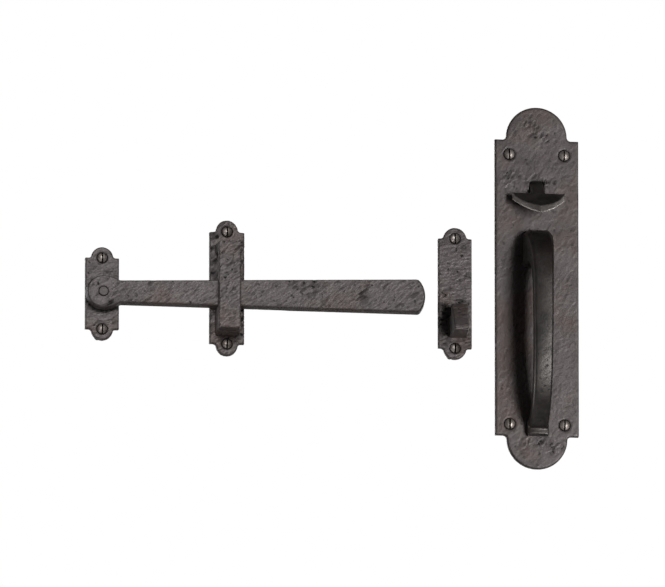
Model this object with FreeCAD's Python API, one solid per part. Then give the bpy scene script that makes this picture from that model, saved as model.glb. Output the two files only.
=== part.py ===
import FreeCAD, Part
import math
import os

# Thumb-operated gate latch in rustic cast iron, laid out in one plane: pivot plate with the
# latch bar, bar guide, keep, and the handle plate with its pull grip and thumb lever.
# Millimetres. X to the right, Z up. The gate's face is the plane Y = 0, and the latch stands
# in front of it towards -Y. The origin is the middle of the handle plate's back.

# All cast plates
plate_thick = 4.0
plate_bevel = 0.6

# Handle plate, its shoulders and screws measured from its ends
handle_w = 57.2
handle_h = 250.0
handle_arch_r = 20.7
handle_shoulder_drop = 22.8
handle_neck_r = 2.6
handle_screw_x = 18.7
handle_screw_top_drop = 33.0
handle_screw_bottom_drop = 30.5

# Pivot plate, its shoulders and screws measured from its ends
pivot_x = -296.0
pivot_z = -13.0
pivot_w = 22.9
pivot_h = 64.0
pivot_arch_r = 7.5
pivot_shoulder_drop = 7.4
pivot_neck_r = 1.6
pivot_screw_drop = 7.5

# Bar guide, its shoulders and screws measured from its ends, its bridge from its middle
guide_x = -211.2
guide_z = -6.6
guide_w = 23.7
guide_h = 93.4
guide_arch_r = 7.4
guide_shoulder_drop = 8.2
guide_neck_r = 2.2
guide_screw_drop = 8.0
bridge_w = 14.8
bridge_h = 60.0
bridge_z = -0.9
bridge_rise = 16.4
bridge_strap = 6.0
bridge_upper_leg = 6.2
bridge_draft = 0.55
bridge_edge_bevel = 0.6
bridge_throat_r = 1.2

# Keep, its shoulders and screws measured from its ends, its hook from its middle
keep_x = -55.9
keep_z = -5.6
keep_w = 23.0
keep_h = 90.8
keep_arch_r = 7.9
keep_shoulder_drop = 7.5
keep_neck_r = 2.0
keep_screw_drop = 7.5
hook_shift = 1.6
hook_root_w = 12.4
hook_front_w = 9.6
hook_reach = 22.0
hook_tip_thick = 1.5
hook_lip_h = 2.8
hook_bottom_z = -30.6
hook_tip_z = -9.3
hook_draft = 1.0
hook_edge_bevel = 0.6
notch_gap = 1.3
notch_floor_z = -16.9
notch_floor_r = 1.5
seat_deep = 0.5
seat_top_z = -5.5
seat_margin = 3.1

# Latch bar, with lengths measured from the rivet
bar_thick = 7.0
bar_length = 218.7
bar_eye_r = 10.8
bar_neck_x = 11.2
bar_neck_r = 2.5
bar_neck_h = 14.6
bar_end_h = 22.6
bar_draft = 0.8
bar_tilt = 0.9
bar_end_crown = 4.4
bar_corner_r = 3.4
bar_bevel = 0.5
bar_rest_gap = 0.3

# Pivot rivet and the washer behind the bar
rivet_r = 2.4
rivet_head_r = 3.05
rivet_head_h = 2.2
rivet_proud = 0.3
rivet_head_bevel = 0.3
rivet_tail_r = 3.6
rivet_tail_h = 1.6
rivet_fit = 0.02
rivet_run_gap = 0.06
rivet_head_gap = 0.3
washer_r = 8.0
washer_thick = 0.6

# Slotted wood screws with raised heads
small_head_r = 3.8
large_head_r = 4.1
screw_dome_h = 1.8
screw_cone_h = 1.9
screw_ring_gap = 0.3
screw_seat_gap = 0.03
screw_neck_r = 2.25
screw_neck_end_y = 3.0
screw_shank_r = 2.05
screw_hole_gap = 0.3
screw_length = 25.0
screw_point_h = 3.0
screw_slot_w = 1.1
screw_slot_deep = 1.3

# Pull grip: stations down its middle line, from the upper root to the foot. Each gives the
# distance in front of the gate, the height, the heading below straight out in degrees, the
# width, the thickness and the bevel of its outer corners.
grip_stations = [
    (plate_thick, 26.4, 0, 19.0, 25.0, 2.6),
    (12.0, 26.2, 8, 18.2, 23.0, 2.6),
    (21.0, 22.6, 30, 16.6, 18.6, 2.4),
    (28.0, 15.6, 56, 15.0, 13.8, 1.8),
    (32.0, 4.5, 78, 13.9, 10.8, 1.3),
    (33.2, -12.0, 88, 13.4, 9.6, 1.1),
    (33.2, -38.0, 92, 13.0, 9.2, 1.1),
    (31.6, -58.0, 98, 12.8, 9.0, 1.1),
    (27.8, -73.5, 112, 12.7, 8.8, 1.1),
    (20.6, -86.2, 130, 12.7, 8.6, 1.1),
    (11.5, -93.4, 152, 12.8, 8.2, 1.1),
    (plate_thick, -95.6, 180, 13.0, 7.4, 1.1),
]
grip_loft_degree = 2
grip_inner_bevel = 1.0
grip_foot_w = 14.0
grip_foot_rise = 6.4
grip_foot_top_z = -92.6
grip_foot_bottom_z = -102.6
grip_foot_edge_r = 0.8

# Screws that hold the grip from behind the handle plate
grip_upper_screw_z = 26.4
grip_upper_screw_r = 2.4
grip_upper_screw_in = 13.0
grip_lower_screw_z = -97.4
grip_lower_screw_r = 1.9
grip_lower_screw_in = 4.6
grip_screw_head_h = 2.2
grip_screw_slot_w = 1.0
grip_screw_slot_deep = 0.9
grip_thread_gap = 0.05
grip_tap_spare = 1.0

# Thumb lever: it lies level in the slot, bends down to the pad in front of the plate and
# runs back as the tail that lifts a bar on the far side of the gate
pin_y = 5.6
pin_z = 69.7
pin_r = 2.0
pin_fit = 0.02
pin_run_gap = 0.06
pin_proud = 0.4
tang_w = 8.8
tang_h = 7.2
lever_boss_r = 4.6
pad_slope = 44.0
pad_back_reach = 8.0
pad_front_reach = 19.2
pad_back_w = 36.2
pad_edge_h = 5.2
pad_dish = 0.7
pad_flank_bulge = 1.5
pad_web_in = 0.3
pad_web_deep = 2.2
tail_length = 84.0
tail_end_h = 5.0
tail_drop = 8.0
tail_tip_length = 17.0
tail_tip_rise = 4.5
tail_bend_r = 8.0
tail_end_r = 2.2
slot_side_gap = 0.5
slot_top_gap = 0.5
slot_below = 6.6
ear_thick = 3.2
ear_r = 5.2

# How far cutting tools run past the face that they open, and how near counts as the same
past = 1.0
same = 1e-6

V = FreeCAD.Vector
origin = V(0, 0, 0)
into_gate = V(0, 1, 0)
out_of_gate = V(0, -1, 0)
bar_back_y = -(plate_thick + washer_thick)
bar_front_y = bar_back_y - bar_thick
slot_w = tang_w + 2 * slot_side_gap
tang_top_z = pin_z + tang_h / 2
tang_low_z = pin_z - tang_h / 2


def line(start, end):
    return Part.makeLine(start, end)


def arc(start, middle, end):
    return Part.Arc(start, middle, end).toShape()


def polar(centre, radius, angle):
    """Point in the XZ plane at an angle in radians above +X."""
    return centre + V(radius * math.cos(angle), 0, radius * math.sin(angle))


def polygon_face(points):
    return Part.Face(Part.makePolygon(points + [points[0]]))


def side_prism(points, x0, x1):
    """Prism along X of an outline given as (Y, Z) pairs."""
    return polygon_face([V(x0, y, z) for y, z in points]).extrude(V(x1 - x0, 0, 0))


def box(x0, x1, y0, y1, z0, z1):
    return Part.makeBox(x1 - x0, y1 - y0, z1 - z0, V(x0, y0, z0))


def rod(radius, x, z, y0, y1):
    """Cylinder along Y."""
    return Part.makeCylinder(radius, y1 - y0, V(x, y0, z), into_gate)


def cone(r0, r1, x, z, y0, y1):
    """Cone along Y."""
    return Part.makeCone(r0, r1, y1 - y0, V(x, y0, z), into_gate)


def edges_at_y(shape, y):
    """Edges that lie in the plane at this Y."""
    return [e for e in shape.Edges if abs(e.BoundBox.YMin - y) < same and abs(e.BoundBox.YMax - y) < same]


def arched_quarter(width, half_h, arch_r, shoulder_drop, neck_r):
    """Upper right quarter of an arched plate's outline, from its side up to the apex."""
    arch_centre = V(0, 0, half_h - arch_r)
    shoulder_z = half_h - shoulder_drop
    neck_z = shoulder_z + neck_r
    neck_x = math.sqrt((arch_r + neck_r) ** 2 - (neck_z - arch_centre.z) ** 2)
    neck_centre = V(neck_x, 0, neck_z)
    arch_start = math.atan2(neck_z - arch_centre.z, neck_x)
    on_arch = polar(arch_centre, arch_r, arch_start)
    neck_mid = polar(neck_centre, neck_r, (arch_start + math.pi + 1.5 * math.pi) / 2)
    arch_mid = polar(arch_centre, arch_r, (arch_start + math.pi / 2) / 2)
    corner = V(width / 2, 0, shoulder_z)
    neck_foot = V(neck_x, 0, shoulder_z)
    return [
        line(V(width / 2, 0, 0), corner),
        line(corner, neck_foot),
        arc(neck_foot, neck_mid, on_arch),
        arc(on_arch, arch_mid, V(0, 0, half_h)),
    ]


def arched_plate(x, z, width, height, arch_r, shoulder_drop, neck_r):
    """Cast plate with a round arch at each end, centred at x, z, its back on the gate."""
    quarter = Part.Compound(arched_quarter(width, height / 2, arch_r, shoulder_drop, neck_r))
    upper = Part.Compound([quarter, quarter.mirror(origin, V(1, 0, 0))])
    lower = upper.mirror(origin, V(0, 0, 1))
    rim = Part.Wire(Part.sortEdges(upper.Edges + lower.Edges)[0])
    plate = Part.Face(rim).extrude(out_of_gate * plate_thick)
    plate = plate.makeChamfer(plate_bevel, edges_at_y(plate, -plate_thick))
    plate.translate(V(x, 0, z))
    return plate


def screw_hole(x, z, head_r):
    """Countersunk hole for a wood screw, as a cutting tool."""
    hole_r = screw_neck_r + screw_hole_gap
    mouth_r = head_r + screw_ring_gap
    flare = (head_r - screw_neck_r) / screw_cone_h
    sink_h = (mouth_r - hole_r) / flare
    mouth = rod(mouth_r, x, z, -plate_thick - past, -plate_thick)
    sink = cone(mouth_r, hole_r, x, z, -plate_thick, -plate_thick + sink_h)
    return mouth.fuse([sink, rod(hole_r, x, z, -plate_thick + sink_h / 2, past)])


def wood_screw(x, z, head_r):
    """Slotted wood screw whose cone beds in the countersink of screw_hole."""
    flare = (head_r - screw_neck_r) / screw_cone_h
    rim_y = -plate_thick + screw_ring_gap / flare - screw_seat_gap
    top_y = rim_y - screw_dome_h
    dome_r = (head_r ** 2 + screw_dome_h ** 2) / (2 * screw_dome_h)
    half_angle = math.asin(head_r / dome_r) / 2
    dome_mid = V(dome_r * math.sin(half_angle), top_y + dome_r * (1 - math.cos(half_angle)), 0)
    rim = V(head_r, rim_y, 0)
    neck_top = V(screw_neck_r, rim_y + screw_cone_h, 0)
    shank_top = V(screw_shank_r, screw_neck_end_y, 0)
    shank_end = V(screw_shank_r, screw_length - screw_point_h, 0)
    tip = V(0, screw_length, 0)
    crown = V(0, top_y, 0)
    profile = [
        arc(crown, dome_mid, rim),
        line(rim, neck_top),
        line(neck_top, shank_top),
        line(shank_top, shank_end),
        line(shank_end, tip),
        line(tip, crown),
    ]
    screw = Part.Face(Part.Wire(profile)).revolve(origin, into_gate, 360)
    half_slot = screw_slot_w / 2
    slot = box(-half_slot, half_slot, top_y - past, top_y + screw_slot_deep, -2 * head_r, 2 * head_r)
    screw = screw.cut(slot)
    screw.translate(V(x, 0, z))
    return screw


def end_screws(x, z, height, drop):
    """Places of the two screws at the ends of a plate centred at x, z."""
    return [(x, z + drop - height / 2), (x, z - drop + height / 2)]


def pivot_plate():
    plate = arched_plate(pivot_x, pivot_z, pivot_w, pivot_h, pivot_arch_r, pivot_shoulder_drop, pivot_neck_r)
    holes = [screw_hole(x, z, small_head_r) for x, z in pivot_screw_places]
    holes.append(rod(rivet_r + rivet_fit, pivot_x, pivot_z, -plate_thick - past, past))
    tail_r = rivet_tail_r + rivet_fit
    holes.append(cone(rivet_r + rivet_fit, tail_r, pivot_x, pivot_z, -rivet_tail_h - rivet_fit, 0))
    return plate.cut(holes)


def pivot_washer():
    disc = rod(washer_r, pivot_x, pivot_z, bar_back_y, -plate_thick)
    return disc.cut(rod(rivet_r + rivet_run_gap, pivot_x, pivot_z, bar_back_y - past, 0))


def pivot_rivet():
    """Rivet with a low head let into the bar's eye and its tail spread in the plate's back."""
    head_top_y = bar_front_y - rivet_proud
    head = rod(rivet_head_r, 0, 0, head_top_y, head_top_y + rivet_head_h)
    head = head.makeChamfer(rivet_head_bevel, edges_at_y(head, head_top_y))
    shank = rod(rivet_r, 0, 0, head_top_y + rivet_head_h / 2, -rivet_tail_h / 2)
    tail = cone(rivet_r, rivet_tail_r, 0, 0, -rivet_tail_h, 0)
    rivet = head.fuse([shank, tail]).removeSplitter()
    rivet.translate(V(pivot_x, 0, pivot_z))
    return rivet


def bar_outline(y, grow):
    """Front outline of the bar at this Y, all its edges moved out by the growth."""
    eye_r = bar_eye_r + grow
    half_neck = bar_neck_h / 2 + grow
    flare = (bar_end_h - bar_neck_h) / 2 / bar_length
    neck_x = bar_neck_x + grow
    side_x = bar_length + grow - bar_end_crown
    neck_half = half_neck + flare * neck_x
    side_half = half_neck + flare * side_x
    fall = eye_r - neck_half
    shoulder_r = (neck_x ** 2 + fall ** 2) / (2 * fall)
    mid_x = neck_x / 2
    mid_half = eye_r - shoulder_r + math.sqrt(shoulder_r ** 2 - mid_x ** 2)
    return Part.Wire([
        arc(V(0, y, eye_r), V(-eye_r, y, 0), V(0, y, -eye_r)),
        arc(V(0, y, -eye_r), V(mid_x, y, -mid_half), V(neck_x, y, -neck_half)),
        line(V(neck_x, y, -neck_half), V(side_x, y, -side_half)),
        arc(V(side_x, y, -side_half), V(bar_length + grow, y, 0), V(side_x, y, side_half)),
        line(V(side_x, y, side_half), V(neck_x, y, neck_half)),
        arc(V(neck_x, y, neck_half), V(mid_x, y, mid_half), V(0, y, eye_r)),
    ])


def latch_bar():
    """Tapered bar with a broad eye, cast with draft so its back is a little larger."""
    bar = Part.makeLoft([bar_outline(bar_back_y, bar_draft), bar_outline(bar_front_y, 0)], True, True)
    through = [e for e in bar.Edges if e.BoundBox.YLength > bar_thick / 2]
    corners = [e for e in through if e.BoundBox.XMin > bar_length / 2]
    bar = bar.makeFillet(bar_corner_r, corners)
    through = [e for e in bar.Edges if e.BoundBox.YLength > bar_thick / 2]
    necks = [e for e in through if bar_neck_x / 2 < e.BoundBox.XMin < bar_length / 2]
    bar = bar.makeFillet(bar_neck_r, necks)
    bar = bar.makeChamfer(bar_bevel, edges_at_y(bar, bar_front_y))
    head_r = rivet_head_r + rivet_head_gap
    head_deep = rivet_head_h - rivet_proud + rivet_run_gap
    bar = bar.cut([
        rod(rivet_r + rivet_run_gap, 0, 0, bar_front_y - past, bar_back_y + past),
        rod(head_r, 0, 0, bar_front_y - past, bar_front_y + head_deep),
    ])
    bar.rotate(origin, out_of_gate, bar_tilt)
    bar.translate(V(pivot_x, 0, pivot_z))
    return bar


def bridge_rect(y, grow):
    half_w = bridge_w / 2 + grow
    half_h = bridge_h / 2 + grow
    middle = V(guide_x, y, guide_z + bridge_z)
    signs = ((-1, -1), (1, -1), (1, 1), (-1, 1))
    corners = [middle + V(i * half_w, 0, j * half_h) for i, j in signs]
    return Part.makePolygon(corners + [corners[0]])


def bar_low_z(x):
    """Lowest height of the resting bar at this X."""
    along = (x - pivot_x) / math.cos(math.radians(bar_tilt))
    flare = (bar_end_h - bar_neck_h) / 2 / bar_length
    half = bar_neck_h / 2 + bar_draft + flare * along
    return pivot_z + along * math.sin(math.radians(bar_tilt)) - half


def bar_guide():
    """Plate and bridge in one casting: the bar passes under the strap and rests on the lower leg."""
    plate = arched_plate(guide_x, guide_z, guide_w, guide_h, guide_arch_r, guide_shoulder_drop, guide_neck_r)
    front_y = -plate_thick - bridge_rise
    root_y = -plate_thick / 2
    root_grow = bridge_draft * (root_y - front_y) / bridge_rise
    bridge = Part.makeLoft([bridge_rect(root_y, root_grow), bridge_rect(front_y, 0)], True, True)
    soft = [e for e in bridge.Edges if e.BoundBox.YMin < root_y - same]
    bridge = bridge.makeChamfer(bridge_edge_bevel, soft)
    low_z = bar_low_z(guide_x) - bar_rest_gap
    high_z = guide_z + bridge_z + bridge_h / 2 - bridge_upper_leg
    inner_y = front_y + bridge_strap
    gap = box(guide_x - bridge_w, guide_x + bridge_w, inner_y, -plate_thick, low_z, high_z)
    throat = [e for e in edges_at_y(gap, inner_y) if e.BoundBox.XLength > bridge_w]
    bridge = bridge.cut(gap.makeFillet(bridge_throat_r, throat))
    holes = [screw_hole(x, z, small_head_r) for x, z in guide_screw_places]
    return plate.fuse(bridge).removeSplitter().cut(holes)


def keep_hook():
    """Catch seen from the side: a ramp up to a thin tip, then the notch the bar drops into."""
    front_y = -plate_thick - hook_reach
    notch_y = bar_front_y - notch_gap
    tip_y = notch_y - hook_tip_thick
    root_y = -plate_thick / 2
    x = keep_x + hook_shift
    profile = [
        (root_y, hook_bottom_z),
        (-plate_thick, hook_bottom_z),
        (front_y, hook_bottom_z + hook_draft),
        (front_y, hook_bottom_z + hook_draft + hook_lip_h),
        (tip_y, hook_tip_z),
        (notch_y, hook_tip_z),
        (notch_y, notch_floor_z),
        (root_y, notch_floor_z),
    ]
    hook = side_prism([(y, z + keep_z) for y, z in profile], x - hook_root_w, x + hook_root_w)
    floor_z = keep_z + notch_floor_z
    floor_edge = [e for e in edges_at_y(hook, notch_y) if abs(e.BoundBox.ZMax - floor_z) < same]
    hook = hook.makeFillet(notch_floor_r, floor_edge)
    low_z = keep_z + hook_bottom_z - past
    taper = polygon_face([
        V(x - hook_root_w / 2, root_y, low_z),
        V(x - hook_root_w / 2, -plate_thick, low_z),
        V(x - hook_front_w / 2, front_y, low_z),
        V(x + hook_front_w / 2, front_y, low_z),
        V(x + hook_root_w / 2, -plate_thick, low_z),
        V(x + hook_root_w / 2, root_y, low_z),
    ]).extrude(V(0, 0, hook_tip_z - hook_bottom_z + 2 * past))
    hook = hook.common(taper)
    front = [e for e in hook.Edges if e.BoundBox.YMax < tip_y + same]
    return hook.makeChamfer(hook_edge_bevel, front)


def keep_plate():
    plate = arched_plate(keep_x, keep_z, keep_w, keep_h, keep_arch_r, keep_shoulder_drop, keep_neck_r)
    left = keep_x - keep_w / 2 + seat_margin
    right = keep_x + keep_w / 2 - seat_margin
    seat_y = -plate_thick + seat_deep
    seat = box(left, right, -plate_thick - past, seat_y, keep_z + notch_floor_z, keep_z + seat_top_z)
    holes = [screw_hole(x, z, small_head_r) for x, z in keep_screw_places]
    return plate.cut(seat).fuse(keep_hook()).removeSplitter().cut(holes)


def grip_section(station):
    """Outline across the grip at one station, with its two outer corners cut off."""
    out, height, heading, width, thick, bevel = station
    turn = math.radians(heading)
    middle = V(0, -out, height)
    outward = V(0, -math.sin(turn), math.cos(turn))
    half_w, half_t = width / 2, thick / 2
    outline = [
        (-half_w + grip_inner_bevel, -half_t),
        (-half_w, -half_t + grip_inner_bevel),
        (-half_w, half_t - bevel),
        (-half_w + bevel, half_t),
        (half_w - bevel, half_t),
        (half_w, half_t - bevel),
        (half_w, -half_t + grip_inner_bevel),
        (half_w - grip_inner_bevel, -half_t),
    ]
    corners = [middle + V(x, 0, 0) + outward * n for x, n in outline]
    return Part.makePolygon(corners + [corners[0]])


def pull_grip():
    """Bow handle cast in one piece, broad where it leaves the plate and slim at the foot."""
    bow = Part.makeLoft([grip_section(s) for s in grip_stations], True, False, False, grip_loft_degree)
    half_w = grip_foot_w / 2
    front_y = -plate_thick - grip_foot_rise
    foot = box(-half_w, half_w, front_y, -plate_thick, grip_foot_bottom_z, grip_foot_top_z)
    foot = foot.makeFillet(grip_foot_edge_r, edges_at_y(foot, front_y))
    grip = bow.fuse(foot)
    return grip.cut([
        rod(grip_upper_screw_r + grip_thread_gap, 0, grip_upper_screw_z,
            -plate_thick - grip_upper_screw_in - grip_tap_spare, -plate_thick + past),
        rod(grip_lower_screw_r + grip_thread_gap, 0, grip_lower_screw_z,
            -plate_thick - grip_lower_screw_in - grip_thread_gap, -plate_thick + past),
    ])


def grip_screw(z, radius, depth):
    """Countersunk machine screw from the plate's back into the grip."""
    head_r = radius + grip_screw_head_h
    end_y = -plate_thick - depth
    body = rod(radius, 0, z, end_y, -grip_screw_head_h / 2)
    head = cone(radius, head_r, 0, z, -grip_screw_head_h, 0)
    half_slot = grip_screw_slot_w / 2
    slot = box(-2 * head_r, 2 * head_r, -grip_screw_slot_deep, past, z - half_slot, z + half_slot)
    return body.fuse(head).removeSplitter().cut(slot)


def grip_screw_hole(z, radius):
    hole_r = radius + screw_hole_gap
    head_r = radius + grip_screw_head_h
    sink_h = head_r - hole_r
    sink = cone(hole_r, head_r, 0, z, -sink_h, 0)
    return sink.fuse(rod(hole_r, 0, z, -plate_thick - past, 0))


def handle_ear(side):
    """Lug behind the plate that carries one end of the lever pin."""
    inner_x = slot_w / 2
    outer_x = inner_x + ear_thick
    round_end = Part.makeCylinder(ear_r, ear_thick, V(inner_x, pin_y, pin_z), V(1, 0, 0))
    web = box(inner_x, outer_x, -plate_thick / 2, pin_y, pin_z - ear_r, pin_z + ear_r)
    ear = round_end.fuse(web).removeSplitter()
    return ear if side > 0 else ear.mirror(origin, V(1, 0, 0))


def handle_plate():
    plate = arched_plate(0, 0, handle_w, handle_h, handle_arch_r, handle_shoulder_drop, handle_neck_r)
    plate = plate.fuse([handle_ear(-1), handle_ear(1)]).removeSplitter()
    half_w = slot_w / 2
    slot_low_z = tang_low_z - slot_below
    slot = box(-half_w, half_w, -plate_thick - past, past, slot_low_z, tang_top_z + slot_top_gap)
    pin_hole = Part.makeCylinder(pin_r + pin_fit, handle_w, V(-handle_w / 2, pin_y, pin_z), V(1, 0, 0))
    holes = [screw_hole(x, z, large_head_r) for x, z in handle_screw_places]
    holes.append(grip_screw_hole(grip_upper_screw_z, grip_upper_screw_r))
    holes.append(grip_screw_hole(grip_lower_screw_z, grip_lower_screw_r))
    return plate.cut([slot, pin_hole] + holes)


def lever_pin():
    reach = slot_w / 2 + ear_thick + pin_proud
    return Part.makeCylinder(pin_r, 2 * reach, V(-reach, pin_y, pin_z), V(1, 0, 0))


def thumb_pad():
    """Dished pad, straight along the back and drawn to a blunt point in front."""
    fall = math.tan(math.radians(pad_slope))
    back_y = -plate_thick - pad_back_reach
    front_y = -plate_thick - pad_front_reach
    bend_y = -plate_thick / 2
    back_z = tang_top_z + fall * (back_y - bend_y)
    front_z = tang_top_z + fall * (front_y - bend_y)
    half_w = pad_back_w / 2
    turn = math.radians(pad_slope)
    middle = V(0, (back_y + front_y) / 2, (back_z + front_z) / 2)
    dish = middle + V(0, pad_dish * math.sin(turn), -pad_dish * math.cos(turn))
    side = Part.Wire([
        arc(V(0, back_y, back_z), dish, V(0, front_y, front_z)),
        line(V(0, front_y, front_z), V(0, front_y, front_z - pad_edge_h)),
        line(V(0, front_y, front_z - pad_edge_h), V(0, back_y, back_z - pad_edge_h)),
        line(V(0, back_y, back_z - pad_edge_h), V(0, back_y, back_z)),
    ])
    slab = Part.Face(side).extrude(V(pad_back_w + 2 * past, 0, 0))
    slab.translate(V(-half_w - past, 0, 0))
    flank = V(half_w, back_y - front_y, 0)
    bulge = V(flank.y, -flank.x, 0).normalize() * pad_flank_bulge
    mid_right = V(half_w / 2, (back_y + front_y) / 2, 0) + bulge
    mid_left = V(-mid_right.x, mid_right.y, 0)
    plan = Part.Face(Part.Wire([
        line(V(-half_w, back_y, 0), V(half_w, back_y, 0)),
        arc(V(half_w, back_y, 0), mid_right, V(0, front_y, 0)),
        arc(V(0, front_y, 0), mid_left, V(-half_w, back_y, 0)),
    ]))
    return slab.common(plan.extrude(V(0, 0, pin_z + tang_h)))


def lever_tang():
    """Level part through the slot, its sloping front under the pad and the tail behind."""
    fall = math.tan(math.radians(pad_slope))
    bend_y = -plate_thick / 2
    top_front_y = -plate_thick - pad_back_reach - pad_web_in
    top_front_z = tang_top_z + fall * (top_front_y - bend_y)
    front_y = -plate_thick - pad_back_reach - pad_web_deep
    front_z = tang_top_z + fall * (front_y - bend_y)
    low_bend_y = bend_y + (tang_low_z - (tang_top_z - pad_edge_h)) / fall
    boss_y = pin_y + lever_boss_r
    tip_y = tail_length - tail_tip_length
    tip_z = pin_z - tail_drop
    half_end = tail_end_h / 2
    profile = [
        (front_y, front_z - pad_edge_h / 2),
        (top_front_y, top_front_z),
        (bend_y, tang_top_z),
        (boss_y, tang_top_z),
        (tip_y, tip_z + half_end),
        (tail_length, tip_z + half_end + tail_tip_rise),
        (tail_length, tip_z - half_end + tail_tip_rise),
        (tip_y, tip_z - half_end),
        (boss_y, tang_low_z),
        (low_bend_y, tang_low_z),
        (front_y, front_z - pad_edge_h),
    ]
    tang = side_prism(profile, -tang_w / 2, tang_w / 2)
    across = [e for e in tang.Edges if e.BoundBox.XLength > tang_w / 2]
    bends = [e for e in across if abs(e.BoundBox.YMax - tip_y) < same]
    tang = tang.makeFillet(tail_bend_r, bends)
    ends = [e for e in edges_at_y(tang, tail_length) if e.BoundBox.XLength > tang_w / 2]
    return tang.makeFillet(tail_end_r, ends)


def thumb_lever():
    """Pad, tang, pivot boss and tail forged as one piece."""
    boss = Part.makeCylinder(lever_boss_r, tang_w, V(-tang_w / 2, pin_y, pin_z), V(1, 0, 0))
    lever = thumb_pad().fuse([lever_tang(), boss]).removeSplitter()
    bore = Part.makeCylinder(pin_r + pin_run_gap, 2 * tang_w, V(-tang_w, pin_y, pin_z), V(1, 0, 0))
    return lever.cut(bore)


def wood_screws(places, head_r):
    return Part.Compound([wood_screw(x, z, head_r) for x, z in places])


pivot_screw_places = end_screws(pivot_x, pivot_z, pivot_h, pivot_screw_drop)
guide_screw_places = end_screws(guide_x, guide_z, guide_h, guide_screw_drop)
keep_screw_places = end_screws(keep_x, keep_z, keep_h, keep_screw_drop)
handle_screw_places = [
    (side * handle_screw_x, z)
    for side in (-1, 1)
    for z in (handle_screw_bottom_drop - handle_h / 2, handle_h / 2 - handle_screw_top_drop)
]
small_screw_places = pivot_screw_places + guide_screw_places + keep_screw_places


def all_nodes():
    return {
        "pivot_plate": pivot_plate(),
        "pivot_washer": pivot_washer(),
        "pivot_rivet": pivot_rivet(),
        "latch_bar": latch_bar(),
        "bar_guide": bar_guide(),
        "keep_plate": keep_plate(),
        "handle_plate": handle_plate(),
        "pull_grip": pull_grip(),
        "grip_screw_upper": grip_screw(grip_upper_screw_z, grip_upper_screw_r, grip_upper_screw_in),
        "grip_screw_lower": grip_screw(grip_lower_screw_z, grip_lower_screw_r, grip_lower_screw_in),
        "lever_pin": lever_pin(),
        "thumb_lever": thumb_lever(),
        "small_plate_screws": wood_screws(small_screw_places, small_head_r),
        "handle_plate_screws": wood_screws(handle_screw_places, large_head_r),
    }


os.makedirs("parts", exist_ok=True)
for name, shape in all_nodes().items():
    shape.exportStep(f"parts/{name}.step")
    bounds = shape.BoundBox
    print(f"{name:26} valid {shape.isValid()} solids {len(shape.Solids)} volume {shape.Volume:9.1f}"
          f"  y {bounds.YMin:7.2f} {bounds.YMax:6.2f}  z {bounds.ZMin:7.2f} {bounds.ZMax:7.2f}")
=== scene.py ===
import math

import bmesh
import bpy
from mathutils import Matrix, Vector


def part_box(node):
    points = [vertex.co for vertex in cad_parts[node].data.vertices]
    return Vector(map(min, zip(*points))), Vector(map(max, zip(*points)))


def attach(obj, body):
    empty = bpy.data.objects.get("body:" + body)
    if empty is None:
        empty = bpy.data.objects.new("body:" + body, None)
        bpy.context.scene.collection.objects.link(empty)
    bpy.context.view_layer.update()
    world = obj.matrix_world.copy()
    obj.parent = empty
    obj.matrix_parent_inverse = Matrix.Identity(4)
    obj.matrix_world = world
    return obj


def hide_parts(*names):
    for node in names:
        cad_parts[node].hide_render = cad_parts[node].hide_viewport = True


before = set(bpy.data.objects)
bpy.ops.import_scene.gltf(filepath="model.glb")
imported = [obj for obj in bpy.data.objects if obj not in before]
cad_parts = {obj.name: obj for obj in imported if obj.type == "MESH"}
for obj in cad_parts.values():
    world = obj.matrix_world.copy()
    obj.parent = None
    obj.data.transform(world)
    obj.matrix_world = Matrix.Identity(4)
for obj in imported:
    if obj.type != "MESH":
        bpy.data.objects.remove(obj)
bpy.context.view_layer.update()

mm = 0.001
allPieces = bpy.context.scene.collection
print("frame loaded:", len(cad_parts), "CAD nodes")


def linear(hexColour):  # sRGB hex, as a paint chart gives it, to Blender's linear colour
    parts = [int(hexColour[i:i + 2], 16) / 255 for i in (1, 3, 5)]
    return tuple(c / 12.92 if c <= 0.04045 else ((c + 0.055) / 1.055) ** 2.4 for c in parts) + (1.0,)


def addNode(tree, kind, settings=None, inputs=None):  # a socket given as an input's value is linked to it
    node = tree.nodes.new(kind)
    for name, value in (settings or {}).items():
        setattr(node, name, value)
    for name, value in (inputs or {}).items():
        if isinstance(value, bpy.types.NodeSocket):
            tree.links.new(value, node.inputs[name])
        else:
            node.inputs[name].default_value = value
    return node


def newGroup(name, sizes):  # a geometry tree with one named input for each size
    tree = bpy.data.node_groups.new(name, "GeometryNodeTree")
    tree.interface.new_socket("Geometry", in_out="INPUT", socket_type="NodeSocketGeometry")
    for label, kind in sizes.items():
        tree.interface.new_socket(label, in_out="INPUT", socket_type=kind)
    tree.interface.new_socket("Geometry", in_out="OUTPUT", socket_type="NodeSocketGeometry")
    return tree, addNode(tree, "NodeGroupInput").outputs


def addTree(piece, tree, values):  # the tree as a modifier, its inputs set before it is first worked out
    modifier = piece.modifiers.new(tree.name, "NODES")
    modifier.node_group = tree
    for item in tree.interface.items_tree:
        if item.in_out == "INPUT" and item.name in values:
            modifier[item.identifier] = values[item.name]


def newPiece(name, mesh, material):
    piece = bpy.data.objects.new(name, mesh)
    allPieces.objects.link(piece)
    mesh.materials.clear()
    mesh.materials.append(material)
    return piece


def applyAll(piece, material):  # what the modifiers make becomes the piece's plain mesh
    graph = bpy.context.evaluated_depsgraph_get()
    made = bpy.data.meshes.new_from_object(
        piece.evaluated_get(graph), preserve_all_data_layers=True, depsgraph=graph)
    piece.modifiers.clear()
    piece.data = made
    made.materials.clear()
    made.materials.append(material)
    made.name = piece.name


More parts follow.
